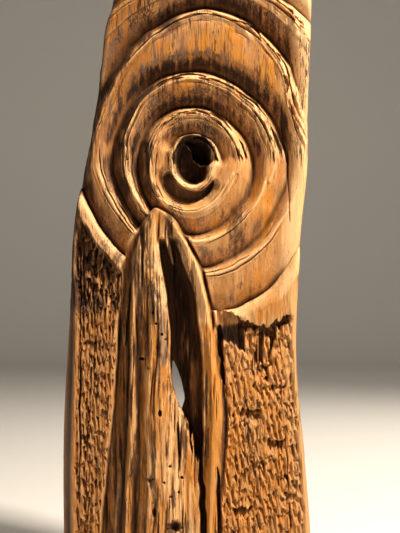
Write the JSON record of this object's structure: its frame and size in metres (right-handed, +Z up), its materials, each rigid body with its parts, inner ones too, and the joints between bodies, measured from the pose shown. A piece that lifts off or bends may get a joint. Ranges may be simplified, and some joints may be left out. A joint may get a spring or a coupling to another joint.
{
  "type": "wooden wall carving",
  "caption": "Tall weathered slab of wood to hang on a wall, carved with rings round an eye-shaped knot hole above a forked, hollowed ridge and gouged fields.",
  "frame": {"origin": "middle of the flat back face, halfway up the slab", "axes": "+Y out of the flat back, towards the wall; the carved front faces -Y; +Z up along the slab; +X to the right as seen from the front"},
  "size_m": [0.4313, 0.1006, 1.136],
  "materials": {
    "weathered_wood": "oiled, with charred grooves and grey weathered streaks"
  },
  "bodies": {
    "root": {"carved_slab": "weathered_wood"}
  },
  "joints": []
}
